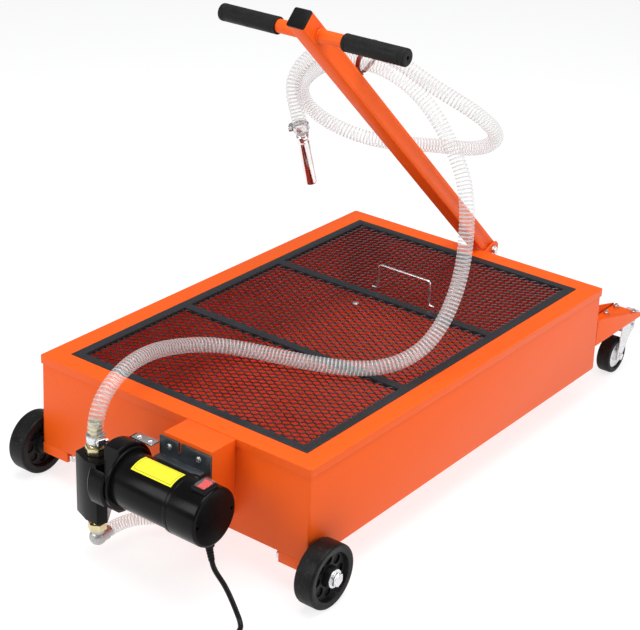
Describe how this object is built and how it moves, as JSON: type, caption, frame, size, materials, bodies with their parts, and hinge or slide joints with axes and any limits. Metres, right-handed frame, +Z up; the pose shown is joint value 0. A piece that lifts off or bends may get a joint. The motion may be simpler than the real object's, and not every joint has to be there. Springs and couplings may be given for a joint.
{
  "type": "parts washer tank",
  "caption": "Shallow rolling parts-washing pan with a lift-out mesh screen, side-mounted pump and motor, delivery hose with nozzle, and folding pull handle.",
  "frame": {"origin": "on the floor, at the middle of the footprint of the machine without its cords", "axes": "+Z up; +X across the tank, to the right seen from the pump end; +Y from the pump end to the handle end"},
  "size_m": [0.716, 1.3303, 0.7834],
  "materials": {
    "powder_coat": "satin orange powder coat",
    "screen_steel": "satin dark coating",
    "motor_paint": "satin black enamel",
    "black_plastic": "moulded black",
    "black_rubber": "matte black",
    "wheel_rubber": "black tyre on black hub",
    "castor_wheel": "light grey moulded wheel",
    "zinc": "bright zinc plate",
    "chrome": "polished",
    "brass": "machined",
    "cast_grey": "grey cast",
    "core": "wound core",
    "gear_steel": "ground",
    "clear_hose": "clear ribbed vinyl",
    "red_plastic": "moulded red",
    "clip_red": "dark red"
  },
  "bodies": {
    "chassis": {"axle_bracket_left": "powder_coat", "axle_bracket_right": "powder_coat", "bearing_front": "gear_steel", "bearing_rear": "gear_steel", "castor_bracket_left": "powder_coat", "castor_bracket_right": "powder_coat", "castor_plate_left": "zinc", "castor_plate_right": "zinc", "cord_coil": "black_rubber", "cord_gland": "black_rubber", "delivery_hose": "clear_hose", "front_axle_left": "zinc", "front_axle_right": "zinc", "handle_bolt": "zinc", "handle_bracket": "powder_coat", "inlet_fitting": "brass", "motor_angle": "screen_steel", "motor_barrel": "motor_paint", "motor_end_cap": "motor_paint", "motor_front_bell": "motor_paint", "outlet_clamp": "zinc", "outlet_fitting": "brass", "power_cord": "black_rubber", "power_plug": "black_plastic", "pump_block": "motor_paint", "pump_bracket": "powder_coat", "pump_head": "motor_paint", "rim_frame": "powder_coat", "stator_core": "core", "suction_elbow": "cast_grey", "suction_hose": "clear_hose", "sump_elbow": "brass", "sump_strainer": "brass", "switch_housing": "black_plastic", "tank_shell": "powder_coat"},
    "screen": {"screen_frame": "screen_steel", "screen_mesh_front": "screen_steel", "screen_mesh_middle": "screen_steel", "screen_mesh_rear": "screen_steel", "screen_bail": "zinc"},
    "handle": {"handle_post": "powder_coat", "post_cap": "black_plastic", "cross_bar": "powder_coat", "grip_left": "black_rubber", "grip_right": "black_rubber", "hose_clip": "clip_red", "nozzle": "chrome", "nozzle_clamp": "zinc"},
    "front_wheel_left_body": {"front_wheel_left": "wheel_rubber"},
    "front_wheel_right_body": {"front_wheel_right": "wheel_rubber"},
    "castor_left": {"castor_fork_left": "zinc"},
    "castor_right": {"castor_fork_right": "zinc"},
    "castor_left_wheel": {"castor_wheel_left": "castor_wheel"},
    "castor_right_wheel": {"castor_wheel_right": "castor_wheel"},
    "brake_left": {"brake_pedal_left": "castor_wheel"},
    "brake_right": {"brake_pedal_right": "castor_wheel"},
    "rocker": {"switch_rocker": "red_plastic"},
    "rotor": {"rotor_shaft": "gear_steel", "drive_gear": "gear_steel"},
    "idler": {"driven_gear": "gear_steel"}
  },
  "joints": [
    {"name": "handle_fold", "type": "hinge", "parent": "chassis", "child": "handle", "pos_m": [0, 0.4366, 0.2139], "axis": [-1, 0, 0], "range_deg": [0, 95], "deforming": ["delivery_hose"]},
    {"name": "screen_lift", "type": "slide", "parent": "chassis", "child": "screen", "axis": [0, 0, 1], "range_m": [0, 0.028]},
    {"name": "motor_spin", "type": "hinge", "parent": "chassis", "child": "rotor", "pos_m": [0, -0.5534, 0.1567], "axis": [1, 0, 0], "continuous": true},
    {"name": "driven_gear_spin", "type": "hinge", "parent": "chassis", "child": "idler", "pos_m": [0, -0.5534, 0.1345], "axis": [1, 0, 0], "continuous": true},
    {"name": "switch_rock", "type": "hinge", "parent": "chassis", "child": "rocker", "pos_m": [0.17, -0.5574, 0.2042], "axis": [1, 0, 0], "range_deg": [-20, 0]},
    {"name": "front_wheel_spin_left", "type": "hinge", "parent": "chassis", "child": "front_wheel_left_body", "pos_m": [-0.2974, -0.4369, 0.0525], "axis": [1, 0, 0], "continuous": true},
    {"name": "castor_swivel_left", "type": "hinge", "parent": "chassis", "child": "castor_left", "pos_m": [-0.2435, 0.5519, 0.0642], "axis": [0, 0, 1], "continuous": true},
    {"name": "castor_wheel_spin_left", "type": "hinge", "parent": "castor_left", "child": "castor_left_wheel", "pos_m": [-0.2435, 0.5299, 0.0355], "axis": [1, 0, 0], "continuous": true},
    {"name": "brake_pedal_joint_left", "type": "hinge", "parent": "castor_left", "child": "brake_left", "pos_m": [-0.2435, 0.5724, 0.0867], "axis": [-1, 0, 0], "range_deg": [0, 12]},
    {"name": "front_wheel_spin_right", "type": "hinge", "parent": "chassis", "child": "front_wheel_right_body", "pos_m": [0.2974, -0.4369, 0.0525], "axis": [1, 0, 0], "continuous": true},
    {"name": "castor_swivel_right", "type": "hinge", "parent": "chassis", "child": "castor_right", "pos_m": [0.2435, 0.5519, 0.0642], "axis": [0, 0, 1], "continuous": true},
    {"name": "castor_wheel_spin_right", "type": "hinge", "parent": "castor_right", "child": "castor_right_wheel", "pos_m": [0.2435, 0.5299, 0.0355], "axis": [1, 0, 0], "continuous": true},
    {"name": "brake_pedal_joint_right", "type": "hinge", "parent": "castor_right", "child": "brake_right", "pos_m": [0.2435, 0.5724, 0.0867], "axis": [-1, 0, 0], "range_deg": [0, 12]}
  ],
  "couplings": [
    {"joint": "driven_gear_spin", "follows": "motor_spin", "ratio": -1}
  ]
}
